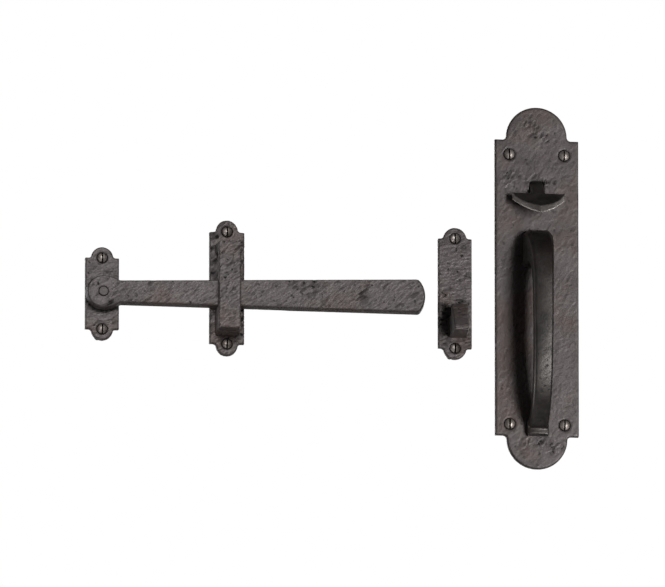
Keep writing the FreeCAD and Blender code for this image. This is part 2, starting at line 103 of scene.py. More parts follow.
# Black-waxed cast iron: sand cast from a hand-dented pattern, blackened and waxed. The eye sees a dark
# warm grey with a soft sheen and brown clouds. The near-black colour is wax in the pits, and painted shade in
# the slots, round the screw heads, under the bar's eye and beside the bridge and the hook. The thin dark rims
# are painted shade, and the lighter edges are partly wear and partly painted highlight. A value that ends in
# From or To is a level of the noise, at which a colour starts or is full.
castFinish = {
    "face": "#5d5655",
    "cloud": "#504948",
    "rust": "#594a45",
    # near black: wax in the pits, and painted shade in slots, under the bar's eye and beside raised parts
    "hollow": "#1a1716",
    # thin dark rims on edges: painted shade
    "rim": "#231f1e",
    # lighter edges of standing parts: partly wear, partly painted highlight
    "rubbed": "#8a8180",
    "metallic": 0.2,
    "roughLow": 0.4,
    "roughHigh": 0.58,
    "roughHollow": 0.95,
    "cloudMm": 15,
    "cloudFrom": 0.38,
    "cloudTo": 0.66,
    "rustMm": 55,
    "rustFrom": 0.48,
    "rustTo": 0.62,
    "rustMost": 0.7,
    "grainMm": 0.9,  # sand grain is 0.3 mm, drawn coarser so that it shows
    "grainFrom": 0.3,
    "grainTo": 0.7,
    "grainBump": 0.25,
    "grainHighMm": 0.1,
}


def castIron(name, finish):
    material = bpy.data.materials.new(name)
    material.use_nodes = True
    tree = material.node_tree
    tree.nodes.clear()
    place = addNode(tree, "ShaderNodeTexCoord").outputs["Object"]
    cloud = addNode(tree, "ShaderNodeTexNoise", inputs={
        "Vector": place, "Scale": 1 / (finish["cloudMm"] * mm), "Detail": 3, "Roughness": 0.6})
    cloudShare = addNode(tree, "ShaderNodeMapRange", {"interpolation_type": "SMOOTHSTEP"}, {
        "Value": cloud.outputs["Fac"], "From Min": finish["cloudFrom"], "From Max": finish["cloudTo"]})
    faceColour = addNode(tree, "ShaderNodeMix", {"data_type": "RGBA"}, {
        0: cloudShare.outputs["Result"], 6: linear(finish["face"]), 7: linear(finish["cloud"])})
    rust = addNode(tree, "ShaderNodeTexNoise", inputs={
        "Vector": place, "Scale": 1 / (finish["rustMm"] * mm), "Detail": 4, "Roughness": 0.65})
    rustShare = addNode(tree, "ShaderNodeMapRange", {"interpolation_type": "SMOOTHSTEP"}, {
        "Value": rust.outputs["Fac"], "From Min": finish["rustFrom"], "From Max": finish["rustTo"],
        "To Max": finish["rustMost"]})
    rustColour = addNode(tree, "ShaderNodeMix", {"data_type": "RGBA"}, {
        0: rustShare.outputs["Result"], 6: faceColour.outputs[2], 7: linear(finish["rust"])})
    # near black where marked: wax in the pits, and painted shade in slots, screw rings, under the bar's eye
    # and beside raised parts
    hollow = addNode(tree, "ShaderNodeAttribute", {"attribute_name": "hollow"})
    hollowColour = addNode(tree, "ShaderNodeMix", {"data_type": "RGBA"}, {
        0: hollow.outputs["Fac"], 6: rustColour.outputs[2], 7: linear(finish["hollow"])})
    # thin dark rims on edges: painted shade
    rim = addNode(tree, "ShaderNodeAttribute", {"attribute_name": "rim"})
    rimColour = addNode(tree, "ShaderNodeMix", {"data_type": "RGBA"}, {
        0: rim.outputs["Fac"], 6: hollowColour.outputs[2], 7: linear(finish["rim"])})
    # lighter edges on standing parts: partly wear and partly painted highlight
    rubbed = addNode(tree, "ShaderNodeAttribute", {"attribute_name": "rubbed"})
    colour = addNode(tree, "ShaderNodeMix", {"data_type": "RGBA"}, {
        0: rubbed.outputs["Fac"], 6: rimColour.outputs[2], 7: linear(finish["rubbed"])})
    grain = addNode(tree, "ShaderNodeTexNoise", inputs={
        "Vector": place, "Scale": 1 / (finish["grainMm"] * mm), "Detail": 2, "Roughness": 0.55})
    rough = addNode(tree, "ShaderNodeMapRange", inputs={
        "Value": grain.outputs["Fac"], "From Min": finish["grainFrom"], "From Max": finish["grainTo"],
        "To Min": finish["roughLow"], "To Max": finish["roughHigh"]})
    dull = addNode(tree, "ShaderNodeMapRange", inputs={
        "Value": hollow.outputs["Fac"], "To Min": rough.outputs["Result"], "To Max": finish["roughHollow"]})
    bump = addNode(tree, "ShaderNodeBump", inputs={
        "Height": grain.outputs["Fac"], "Strength": finish["grainBump"],
        "Distance": finish["grainHighMm"] * mm})
    shader = addNode(tree, "ShaderNodeBsdfPrincipled", inputs={
        "Base Color": colour.outputs[2], "Roughness": dull.outputs["Result"],
        "Normal": bump.outputs["Normal"], "Metallic": finish["metallic"]})
    addNode(tree, "ShaderNodeOutputMaterial", inputs={"Surface": shader.outputs["BSDF"]})
    return material


blackWaxedCastIron = castIron("black-waxed cast iron", castFinish)

# The grip and the thumb piece are the same iron, filed and rubbed smooth before the wax. The eye sees the
# metal's own gloss: a face turned away from the lamps is near black, and only rims and the lighter edges
# shine. That lighter edge colour is partly wear and partly painted highlight.
handledIron = castIron("black-waxed iron rubbed smooth", castFinish | {
    "face": "#3d3937", "cloud": "#2c2927", "rust": "#382f2c", "rubbed": "#8a827f", "metallic": 0.6,
    "roughLow": 0.34, "roughHigh": 0.43, "cloudMm": 9, "grainBump": 0.16})

# Japanned steel: screws dipped in black lacquer and stoved, the crown worn bright. The eye sees a glint
# on the dome, and a black slot and a black ring, which are painted shade.
japannedSteel = castIron("black japanned steel, worn", castFinish | {
    "face": "#a8a09a", "cloud": "#837a74", "rust": "#8d837b", "roughLow": 0.4, "roughHigh": 0.5,
    "grainBump": 0.08, "cloudMm": 2.5, "metallic": 0.7})

# Plain steel under thin oil: the washer, the pin and the screws behind the handle plate. The eye sees a dark
# grey, glossier than the castings.
oiledSteel = castIron("oiled plain steel", castFinish | {
    "face": "#5c5856", "cloud": "#4c4947", "roughLow": 0.3, "roughHigh": 0.45, "grainBump": 0.1,
    "metallic": 0.7})

# The rivet is steel hammered flush and waxed over with the bar. The eye sees barely more than its round edge.
waxedRivet = castIron("waxed rivet steel", castFinish | {
    "face": "#554f4d", "cloud": "#474140", "roughLow": 0.45, "roughHigh": 0.6})
print("materials made")

# The dents of the pattern over a whole surface: lumps and strokes of one length and width, slanted by an
# angle, small pits between them and a slow swell, all deeper near the rough places and weaker on the side
# walls. What lies behind "Flat to" is the face against the gate, and stays flat. The values in dentNoise are
# alike for all castings: scales and bends of the noises, steps between their seeds, and the levels at which
# something starts or is full.
dentNoise = {
    "strokeScale": 0.55, "strokeBend": 0.5, "strokeEdge": 0.12, "strokeDark": 0.3,
    "lumpScale": 0.8, "lumpBend": 0.8, "lumpSeed": 5.0, "lumpMiddle": 0.5, "lumpDark": -1.1,
    "pitBend": 0.6, "pitSeed": 9.0, "pitFrom": 0.62, "pitTo": 0.8,
    "scaleTimesSize": 0.6, "swellMiddle": 0.6, "sideFacing": -0.25, "frontFacing": -0.9,
    "freeOver": -1 * mm, "edgeFrom": 0.06 * mm, "edgeTo": 0.24 * mm, "lighterEdgesOver": -3 * mm,
}
dentSizes = ("Stroke length", "Stroke width", "Stroke angle", "Stroke depth", "Stroke cover", "Lump depth",
             "Pit size", "Pit depth", "Swell size", "Swell depth", "Flat to", "Seed", "Rough reach",
             "Rough share", "Calm share", "Side share", "Rubbed from", "Dirt share", "Crown")
dentTree, dentIn = newGroup("castDents", {"Rough places": "NodeSocketObject"} | {
    label: "NodeSocketFloat" for label in dentSizes})
place = addNode(dentTree, "GeometryNodeInputPosition").outputs[0]
outward = addNode(dentTree, "GeometryNodeInputNormal").outputs[0]
turned = addNode(dentTree, "ShaderNodeVectorRotate", {"rotation_type": "Y_AXIS"}, {
    "Vector": place, "Angle": dentIn["Stroke angle"]}).outputs[0]
strokeSize = addNode(dentTree, "ShaderNodeCombineXYZ", inputs={
    "X": dentIn["Stroke length"], "Y": dentIn["Stroke width"], "Z": dentIn["Stroke width"]}).outputs[0]
strokePlace = addNode(dentTree, "ShaderNodeVectorMath", {"operation": "DIVIDE"}, {
    0: turned, 1: strokeSize}).outputs[0]
coverEnd = addNode(dentTree, "ShaderNodeMath", inputs={
    0: dentIn["Stroke cover"], 1: dentNoise["strokeEdge"]}).outputs[0]
strokeNoise = addNode(dentTree, "ShaderNodeTexNoise", {"noise_dimensions": "4D"}, {
    "Vector": strokePlace, "W": dentIn["Seed"], "Scale": dentNoise["strokeScale"], "Detail": 1.5,
    "Distortion": dentNoise["strokeBend"]}).outputs[0]
strokes = addNode(dentTree, "ShaderNodeMapRange", {"interpolation_type": "SMOOTHSTEP"}, {
    "Value": strokeNoise, "From Min": dentIn["Stroke cover"], "From Max": coverEnd}).outputs[0]
lumpSeed = addNode(dentTree, "ShaderNodeMath", inputs={
    0: dentIn["Seed"], 1: dentNoise["lumpSeed"]}).outputs[0]
lumpNoise = addNode(dentTree, "ShaderNodeTexNoise", {"noise_dimensions": "4D"}, {
    "Vector": strokePlace, "W": lumpSeed, "Scale": dentNoise["lumpScale"], "Detail": 2,
    "Distortion": dentNoise["lumpBend"]}).outputs[0]
lumps = addNode(dentTree, "ShaderNodeMath", {"operation": "SUBTRACT"}, {
    0: lumpNoise, 1: dentNoise["lumpMiddle"]}).outputs[0]
pitScale = addNode(dentTree, "ShaderNodeMath", {"operation": "DIVIDE"}, {
    0: dentNoise["scaleTimesSize"], 1: dentIn["Pit size"]}).outputs[0]
pitSeed = addNode(dentTree, "ShaderNodeMath", inputs={0: dentIn["Seed"], 1: dentNoise["pitSeed"]}).outputs[0]
pitNoise = addNode(dentTree, "ShaderNodeTexNoise", {"noise_dimensions": "4D"}, {
    "Vector": turned, "W": pitSeed, "Scale": pitScale, "Detail": 1,
    "Distortion": dentNoise["pitBend"]}).outputs[0]
pits = addNode(dentTree, "ShaderNodeMapRange", {"interpolation_type": "SMOOTHSTEP"}, {
    "Value": pitNoise, "From Min": dentNoise["pitFrom"], "From Max": dentNoise["pitTo"]}).outputs[0]
swellScale = addNode(dentTree, "ShaderNodeMath", {"operation": "DIVIDE"}, {
    0: dentNoise["scaleTimesSize"], 1: dentIn["Swell size"]}).outputs[0]
swellNoise = addNode(dentTree, "ShaderNodeTexNoise", {"noise_dimensions": "4D"}, {
    "Vector": place, "W": dentIn["Seed"], "Scale": swellScale, "Detail": 1}).outputs[0]
swell = addNode(dentTree, "ShaderNodeMath", {"operation": "SUBTRACT"}, {
    0: swellNoise, 1: dentNoise["swellMiddle"]}).outputs[0]

# How much of it a place gets
roughMesh = addNode(dentTree, "GeometryNodeObjectInfo", inputs={"Object": dentIn["Rough places"]})
roughNear = addNode(dentTree, "GeometryNodeProximity", {"target_element": "POINTS"}, {
    0: roughMesh.outputs["Geometry"]}).outputs["Distance"]
roughShare = addNode(dentTree, "ShaderNodeMapRange", {"interpolation_type": "SMOOTHSTEP"}, {
    "Value": roughNear, "From Min": 0.0, "From Max": dentIn["Rough reach"],
    "To Min": dentIn["Rough share"], "To Max": dentIn["Calm share"]}).outputs[0]
facing = addNode(dentTree, "ShaderNodeSeparateXYZ", inputs={0: outward}).outputs["Y"]
frontShare = addNode(dentTree, "ShaderNodeMapRange", {"interpolation_type": "SMOOTHSTEP"}, {
    "Value": facing, "From Min": dentNoise["sideFacing"], "From Max": dentNoise["frontFacing"],
    "To Min": dentIn["Side share"], "To Max": 1.0}).outputs[0]
placeY = addNode(dentTree, "ShaderNodeSeparateXYZ", inputs={0: place}).outputs["Y"]
flatEnd = addNode(dentTree, "ShaderNodeMath", inputs={
    0: dentIn["Flat to"], 1: dentNoise["freeOver"]}).outputs[0]
free = addNode(dentTree, "ShaderNodeMapRange", {"interpolation_type": "SMOOTHSTEP"}, {
    "Value": placeY, "From Min": dentIn["Flat to"], "From Max": flatEnd}).outputs[0]
share = addNode(dentTree, "ShaderNodeMath", {"operation": "MULTIPLY"}, {0: frontShare, 1: free}).outputs[0]
dentShare = addNode(dentTree, "ShaderNodeMath", {"operation": "MULTIPLY"}, {
    0: share, 1: roughShare}).outputs[0]

# How far the surface moves out or in; "Crown" bends a flat face down towards its sides
pitDepth = addNode(dentTree, "ShaderNodeMath", {"operation": "MULTIPLY"}, {
    0: pits, 1: dentIn["Pit depth"]}).outputs[0]
depth = addNode(dentTree, "ShaderNodeMath", {"operation": "MULTIPLY_ADD"}, {
    0: strokes, 1: dentIn["Stroke depth"], 2: pitDepth}).outputs[0]
lumpRise = addNode(dentTree, "ShaderNodeMath", {"operation": "MULTIPLY"}, {
    0: lumps, 1: dentIn["Lump depth"]}).outputs[0]
dentRise = addNode(dentTree, "ShaderNodeMath", {"operation": "SUBTRACT"}, {0: lumpRise, 1: depth}).outputs[0]
swellRise = addNode(dentTree, "ShaderNodeMath", {"operation": "MULTIPLY"}, {
    0: swell, 1: dentIn["Swell depth"]}).outputs[0]
swellFree = addNode(dentTree, "ShaderNodeMath", {"operation": "MULTIPLY"}, {
    0: swellRise, 1: share}).outputs[0]
placeX = addNode(dentTree, "ShaderNodeSeparateXYZ", inputs={0: place}).outputs["X"]
fromMiddle = addNode(dentTree, "ShaderNodeMath", {"operation": "MULTIPLY"}, {0: placeX, 1: facing}).outputs[0]
squared = addNode(dentTree, "ShaderNodeMath", {"operation": "POWER"}, {0: fromMiddle, 1: 2.0}).outputs[0]
crowned = addNode(dentTree, "ShaderNodeMath", {"operation": "MULTIPLY"}, {
    0: squared, 1: dentIn["Crown"]}).outputs[0]
swellCrown = addNode(dentTree, "ShaderNodeMath", {"operation": "SUBTRACT"}, {
    0: swellFree, 1: crowned}).outputs[0]
rise = addNode(dentTree, "ShaderNodeMath", {"operation": "MULTIPLY_ADD"}, {
    0: dentRise, 1: dentShare, 2: swellCrown}).outputs[0]
shift = addNode(dentTree, "ShaderNodeVectorMath", {"operation": "SCALE"}, {
    0: outward, "Scale": rise}).outputs[0]

# Where it is darker: dirt and wax in strokes and pits and between lumps, and near the rough places,
# which at some pieces is painted shade
lumpDark = addNode(dentTree, "ShaderNodeMath", {"operation": "MULTIPLY"}, {
    0: lumps, 1: dentNoise["lumpDark"]}).outputs[0]
pitDark = addNode(dentTree, "ShaderNodeMath", {"operation": "MULTIPLY_ADD"}, {
    0: strokes, 1: dentNoise["strokeDark"], 2: pits}).outputs[0]
bothDark = addNode(dentTree, "ShaderNodeMath", inputs={0: lumpDark, 1: pitDark}).outputs[0]
# near the rough places: dirt at some pieces, painted shade at others
dirtAndShadeNear = addNode(dentTree, "ShaderNodeMapRange", {"interpolation_type": "SMOOTHSTEP"}, {
    "Value": roughNear, "From Min": 0.0, "From Max": dentIn["Rough reach"], "To Min": dentIn["Dirt share"],
    "To Max": 0.0}).outputs[0]
dirtAndShadeFree = addNode(dentTree, "ShaderNodeMath", {"operation": "MULTIPLY"}, {0: dirtAndShadeNear, 1: free}).outputs[0]
hollow = addNode(dentTree, "ShaderNodeMath", {"operation": "MULTIPLY_ADD"}, {
    0: bothDark, 1: dentShare, 2: dirtAndShadeFree}).outputs[0]
marked = addNode(dentTree, "GeometryNodeStoreNamedAttribute", {"data_type": "FLOAT", "domain": "POINT"}, {
    "Geometry": dentIn["Geometry"], "Name": "hollow", "Value": hollow})
moved = addNode(dentTree, "GeometryNodeSetPosition", inputs={"Geometry": marked.outputs[0], "Offset": shift})

# Edges: a point is on one where it stands above its neighbours. In front of the set depth they are painted
# lighter, partly wear and partly painted highlight; behind it they are dark rims of painted shade.
around = addNode(dentTree, "GeometryNodeBlurAttribute", {"data_type": "FLOAT_VECTOR"}, {
    "Value": place, "Iterations": 4}).outputs[0]
above = addNode(dentTree, "ShaderNodeVectorMath", {"operation": "SUBTRACT"}, {0: place, 1: around}).outputs[0]
edgeHeight = addNode(dentTree, "ShaderNodeVectorMath", {"operation": "DOT_PRODUCT"}, {
    0: above, 1: outward}).outputs["Value"]
edge = addNode(dentTree, "ShaderNodeMapRange", {"interpolation_type": "SMOOTHSTEP"}, {
    "Value": edgeHeight, "From Min": dentNoise["edgeFrom"], "From Max": dentNoise["edgeTo"]}).outputs[0]
lighterEdgesEnd = addNode(dentTree, "ShaderNodeMath", inputs={
    0: dentIn["Rubbed from"], 1: dentNoise["lighterEdgesOver"]}).outputs[0]
proud = addNode(dentTree, "ShaderNodeMapRange", inputs={
    "Value": placeY, "From Min": dentIn["Rubbed from"], "From Max": lighterEdgesEnd}).outputs[0]
rubbed = addNode(dentTree, "ShaderNodeMath", {"operation": "MULTIPLY"}, {0: edge, 1: proud}).outputs[0]
rim = addNode(dentTree, "ShaderNodeMath", {"operation": "SUBTRACT"}, {0: edge, 1: rubbed}).outputs[0]
rimMarked = addNode(dentTree, "GeometryNodeStoreNamedAttribute", {"data_type": "FLOAT", "domain": "POINT"}, {
    "Geometry": moved.outputs[0], "Name": "rim", "Value": rim})
allMarked = addNode(dentTree, "GeometryNodeStoreNamedAttribute", {"data_type": "FLOAT", "domain": "POINT"}, {
    "Geometry": rimMarked.outputs[0], "Name": "rubbed", "Value": rubbed})
smoothed = addNode(dentTree, "GeometryNodeSetShadeSmooth", inputs={"Geometry": allMarked.outputs[0]})
addNode(dentTree, "NodeGroupOutput", inputs={"Geometry": smoothed.outputs[0]})

# Relief of the castings, and of the grip and the thumb piece, which are smoother
castRelief = {
    "body": "latch", "evenMm": 0.42, "smoothTurns": 2, "material": blackWaxedCastIron,
    "Stroke length": 3.6 * mm, "Stroke width": 1.35 * mm, "Stroke angle": 0.6, "Stroke depth": 0.24 * mm,
    "Stroke cover": 0.575, "Lump depth": 0.55 * mm, "Pit size": 1.7 * mm, "Pit depth": 0.14 * mm,
    "Swell size": 13 * mm, "Swell depth": 0.55 * mm, "Flat to": -0.4 * mm, "Rough reach": 8 * mm,
    "Rough share": 2.0, "Calm share": 1.0, "Side share": 0.25, "Rubbed from": -8 * mm, "Dirt share": 0.3,
    "Crown": 0.0}
smoothRelief = castRelief | {
    "evenMm": 0.5, "smoothTurns": 4, "material": handledIron, "Stroke depth": 0.05 * mm, "Stroke cover": 0.6,
    "Lump depth": 0.1 * mm, "Pit depth": 0.05 * mm, "Swell size": 12 * mm, "Swell depth": 0.35 * mm,
    "Rough share": 2.5, "Side share": 0.6}

# An arc on the pivot plate just below the bar's eye, darkened as the eye's painted shadow: lengths in mm,
# angles in degrees
eyeShadow = {"middle": (-296, -13), "radius": 11.8, "from": 195, "to": 345, "step": 15}
underEye = []
for degrees in range(eyeShadow["from"], eyeShadow["to"] + 1, eyeShadow["step"]):
    angle = math.radians(degrees)
    underEye.append((eyeShadow["middle"][0] + eyeShadow["radius"] * math.cos(angle),
                     eyeShadow["middle"][1] + eyeShadow["radius"] * math.sin(angle)))

# The seven pieces with relief. "rough" has places on the front, in mm, around which the dents are deeper and
# the surface darker; where noted below, that darkening is painted shade.
plateFace = -4 * mm
castPieces = {
    "handlePlateCast": castRelief | {
        "node": "handle_plate", "evenMm": 0.58, "Stroke angle": 1.0, "Seed": 3.1,
        "Stroke length": 3.2 * mm, "Stroke width": 1.8 * mm, "Stroke depth": 0.14 * mm,
        "Lump depth": 0.8 * mm, "Swell size": 12 * mm, "Swell depth": 0.75 * mm,
        "Calm share": 0.62, "Rough share": 2.8, "Rough reach": 8 * mm, "Dirt share": 0.15,
        # the last three rough places, at the thumb's slot, darken it as painted shade
        "rough": [(-20, 75), (-16, 77), (0, 108), (3, 104), (-4, 112), (3, -106), (-8, -108), (12, -109),
                  (-3, 73.5), (0, 73.5), (3, 73.5)]},
    "pivotPlateCast": castRelief | {
        # its rough places ring the bar's eye, and the strong darkening there is the eye's painted shadow
        "node": "pivot_plate", "Stroke angle": 0.3, "Seed": 7.7, "Calm share": 1.1, "Dirt share": 0.8,
        "Rough share": 1.3, "Rough reach": 3.2 * mm, "rough": underEye},
    "barGuideCast": castRelief | {
        "node": "bar_guide", "Seed": 12.4, "Calm share": 1.45, "Rough share": 3.0, "Rough reach": 6 * mm,
        "Side share": 0.7,
        # the places along the bridge's left side darken the plate there as painted shade
        "rough": [(-221, 30), (-221, 22), (-221, 12), (-221, 2), (-221, -16), (-221, -26), (-221, -34),
                  (-201, 24), (-201, 12), (-201, -30), (-212, -42)]},
    "keepPlateCast": castRelief | {
        "node": "keep_plate", "Stroke length": 3.4 * mm, "Stroke width": 1.7 * mm, "Lump depth": 0.62 * mm,
        "Stroke depth": 0.14 * mm, "Stroke angle": 0.2, "Seed": 20.5,
        "Rough share": 2.2, "Rough reach": 9 * mm, "Calm share": 1.4, "Dirt share": 0.45,
        # round the hook this darkening is rust, and painted shadow to the left of the hook
        "rough": [(-46, -33), (-47, -39), (-65, -36), (-62, -40), (-66, -26), (-66, -16), (-52, -14)]},
    "latchBarCast": castRelief | {
        "node": "latch_bar", "body": "bar", "Stroke angle": 0.65, "Seed": 31.9, "Swell depth": 0.3 * mm,
        "Flat to": 5 * mm, "Rubbed from": -40 * mm, "rough": [(-292, -21), (-150, -4), (-120, -12)]},
    "gripForged": smoothRelief | {
        "node": "pull_grip", "Seed": 41.3, "Flat to": -4.5 * mm, "Rubbed from": -10 * mm,
        "Crown": 11.0, "rough": [(0, -84), (2, -90)]},  # 11 is 0.45 mm at the edges of the face
    "thumbForged": smoothRelief | {
        "node": "thumb_lever", "body": "lever", "evenMm": 0.4, "Seed": 47.7, "Flat to": -7 * mm,
        "rough": [(-6, 57), (4, 55)]},
}


def mergedCopy(node):  # a CAD node's mesh as one closed skin instead of loose triangles
    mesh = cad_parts[node].data.copy()
    shape = bmesh.new()
    shape.from_mesh(mesh)
    bmesh.ops.remove_doubles(shape, verts=shape.verts, dist=0.001 * mm)
    shape.to_mesh(mesh)
    shape.free()
    return mesh


for name, sizes in castPieces.items():
    piece = newPiece(name, mergedCopy(sizes["node"]), sizes["material"])
    evenFaces = piece.modifiers.new("evenFaces", "REMESH")
    evenFaces.mode = "VOXEL"
    evenFaces.voxel_size = sizes["evenMm"] * mm
    soften = piece.modifiers.new("soften", "SMOOTH")  # takes the even faces' steps off a slanted edge
    soften.factor = 0.5
    soften.iterations = sizes["smoothTurns"]
    roughPoints = bpy.data.meshes.new(name + "Rough")
    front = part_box(sizes["node"])[0].y
    roughPoints.from_pydata(
        [(x * mm, y, z * mm) for x, z in sizes["rough"] for y in (front, plateFace)], [], [])
    roughPlaces = newPiece(name + "Rough", roughPoints, sizes["material"])
    addTree(piece, dentTree, sizes | {"Rough places": roughPlaces})
    applyAll(piece, sizes["material"])
    bpy.data.objects.remove(roughPlaces)
    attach(piece, sizes["body"])
    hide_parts(sizes["node"])
    print(name, len(piece.data.polygons), "faces")

for node, material in {"pivot_rivet": waxedRivet, "pivot_washer": oiledSteel, "grip_screw_upper": oiledSteel,
                       "grip_screw_lower": oiledSteel, "lever_pin": oiledSteel}.items():
    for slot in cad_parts[node].material_slots:
        slot.material = material


def inBox(at, sizes):  # whether a point lies between the low and the high corner, which are in mm
    return all(low * mm < a < high * mm for low, a, high in zip(sizes["low"], at, sizes["high"]))


# The thumb piece's slot in the plate is painted dark as shade, and its walls are moved in to close most of
# the gap above the tang and beside it
slotShade = {
    "low": (-6, -3.6, 58), "high": (6, 1, 75), "topFrom": 73.4, "thick": 0.4,
    "wallAt": 4.9, "sideFrom": 3.0, "sideTo": 6.0, "sideThick": 0.35,
}
plate = bpy.data.objects["handlePlateCast"].data
slotShadeMark = plate.attributes["hollow"].data
for vertex in plate.vertices:
    # inside the slot: painted shade
    if inBox(vertex.co, slotShade):
        slotShadeMark[vertex.index].value = 1.0
        if vertex.co.z > slotShade["topFrom"] * mm:
            vertex.co.z -= slotShade["thick"] * mm
    if slotShade["low"][2] * mm < vertex.co.z < slotShade["high"][2] * mm:
        out = abs(vertex.co.x) / mm
        inner = (out - slotShade["sideFrom"]) / (slotShade["wallAt"] - slotShade["sideFrom"])
        outer = (slotShade["sideTo"] - out) / (slotShade["sideTo"] - slotShade["wallAt"])
        near = max(0, min(inner, outer))  # 1 at the slot's wall
        vertex.co.x -= math.copysign(near * slotShade["sideThick"] * mm, vertex.co.x)

# The lower end of the guide's bridge steps out twice on its way back to the plate
bridgeSteps = {"stepAt": (-9.5, -5.5), "drop": 0.6, "low": (-220, -20, -39), "high": (-202.5, -4.3, -36.8)}
for vertex in bpy.data.objects["barGuideCast"].data.vertices:
    if inBox(vertex.co, bridgeSteps):
        stepsPassed = sum(vertex.co.y > y * mm for y in bridgeSteps["stepAt"])
        vertex.co.z -= stepsPassed * bridgeSteps["drop"] * mm

# Slotted wood screws, all alike but for the head: turned, slotted, with a rolled thread. Sizes in mm.
screwSizes = {
    "shank": 2.05, "neck": 2.25, "neckEnd": 3.0, "coneHeight": 1.9, "domeHeight": 1.8, "length": 25.0,
    "rimInset": 0.08, "rimDrop": 0.12, "pointHeight": 3.0, "tipHeight": 0.8,
    "threadRise": 0.25, "pitch": 1.8, "threadFrom": 4.0, "ridgeSlope": 4, "crest": 1.6, "root": 0.6,
    "slotWide": 1.1, "slotDeep": 1.3, "slotPast": 2, "slotSlack": 0.01, "slotLow": 1,
    # where the ring of painted shade round the rim starts, and over how much it grows full
    "ringShadeFrom": 0.72, "ringShadeOver": 0.18,  # shares of the head's radius
    "sides": 36, "domeRings": 9, "rowsPerTurn": 6,
    "sharpAngle": 35,  # degrees
    "turnSpread": 0.05,  # radians by which a slot leaves the upright
}
screwPlaces = {
    "smallScrews": {"node": "small_plate_screws", "headR": 3.8, "rimY": -3.662, "seed": 4, "at": [
        (-296, -37.5), (-296, 11.5), (-211.2, -45.3), (-211.2, 32.1), (-55.9, -43.5), (-55.9, 32.3)]},
    "handleScrews": {"node": "handle_plate_screws", "headR": 4.1, "rimY": -3.722, "seed": 9, "at": [
        (-18.7, -94.5), (-18.7, 92.0), (18.7, -94.5), (18.7, 92.0)]},
}


def screwMesh(name, headR, rimY):  # rings from the crown to the point, in mm, the slot along Z
    s = screwSizes
    n = s["sides"]
    domeR = (headR ** 2 + s["domeHeight"] ** 2) / (2 * s["domeHeight"])
    spread = math.asin(headR / domeR)
    rings = []
    for i in range(1, s["domeRings"] + 1):
        a = spread * i / s["domeRings"]
        rings.append((domeR * math.sin(a), rimY - s["domeHeight"] + domeR * (1 - math.cos(a)), 0))
    rings.append((headR - s["rimInset"], rimY + s["rimDrop"], 0))
    rings.append((s["neck"], rimY + s["coneHeight"], 0))
    rings.append((s["shank"], s["neckEnd"], 0))
    y = s["threadFrom"]
    while y < s["length"] - s["tipHeight"]:
        core = s["shank"] * min(1, (s["length"] - y) / s["pointHeight"])
        grow = min(1, (y - s["threadFrom"]) / s["pitch"])
        rings.append((core, y, s["threadRise"] * grow))
        y += s["pitch"] / s["rowsPerTurn"]
    shape = bmesh.new()
    loops = []
    for r, y, rise in rings:
        loop = []
        for k in range(n):
            a = 2 * math.pi * k / n
            phase = (y / s["pitch"] - k / n) % 1
            ridge = max(0, 1 - abs(phase - 0.5) * s["ridgeSlope"])  # 1 on the crest, 0 between two turns
            out = r + rise * (s["crest"] * ridge - s["root"])
            loop.append(shape.verts.new((out * math.cos(a) * mm, y * mm, out * math.sin(a) * mm)))
        loops.append(loop)
    crown = shape.verts.new((0, (rimY - s["domeHeight"]) * mm, 0))
    tip = shape.verts.new((0, s["length"] * mm, 0))
    for k in range(n):
        shape.faces.new((crown, loops[0][k], loops[0][(k + 1) % n]))
        shape.faces.new((tip, loops[-1][(k + 1) % n], loops[-1][k]))
    for upper, lower in zip(loops, loops[1:]):
        for k in range(n):
            shape.faces.new((upper[k], lower[k], lower[(k + 1) % n], upper[(k + 1) % n]))
    bmesh.ops.recalc_face_normals(shape, faces=shape.faces)
    mesh = bpy.data.meshes.new(name)
    shape.to_mesh(mesh)
    shape.free()
    return mesh


def slotCutter(headR, rimY):  # a bar across the crown, as deep as the slot
    s = screwSizes
    top = rimY - s["domeHeight"]
    shape = bmesh.new()
    bmesh.ops.create_cube(shape, size=1)
    size = Vector((s["slotWide"], s["slotDeep"] + s["slotPast"], 3 * headR)) * mm
    middle = Vector((0, (top + s["slotDeep"]) * mm - size.y / 2, 0))
    shape.transform(Matrix.Translation(middle) @ Matrix.Diagonal((*size, 1)))
    mesh = bpy.data.meshes.new("slotCutter")
    shape.to_mesh(mesh)
    shape.free()
    return mesh


def darkenSlot(mesh, headR, rimY):  # painted shade in the slot and in a ring round the rim
    s = screwSizes
    halfSlot = (s["slotWide"] / 2 + s["slotSlack"]) * mm
    dark = mesh.attributes.new("hollow", "FLOAT", "CORNER")
    values = [0.0] * len(mesh.loops)
    for face in mesh.polygons:
        corners = [mesh.vertices[v].co for v in face.vertices]
        inside = all(abs(at.x) < halfSlot and at.y < (rimY + s["slotLow"]) * mm for at in corners)
        isWall = abs(face.normal.x) > 0.9
        isBottom = face.normal.y < -0.98
        inSlot = inside and (isWall or isBottom)
        for corner in face.loop_indices:
            at = mesh.vertices[mesh.loops[corner].vertex_index].co
            out = math.hypot(at.x, at.z) / (headR * mm)
            values[corner] = 1.0 if inSlot else min(1, max(0, (out - s["ringShadeFrom"]) / s["ringShadeOver"]))
    dark.data.foreach_set("value", values)


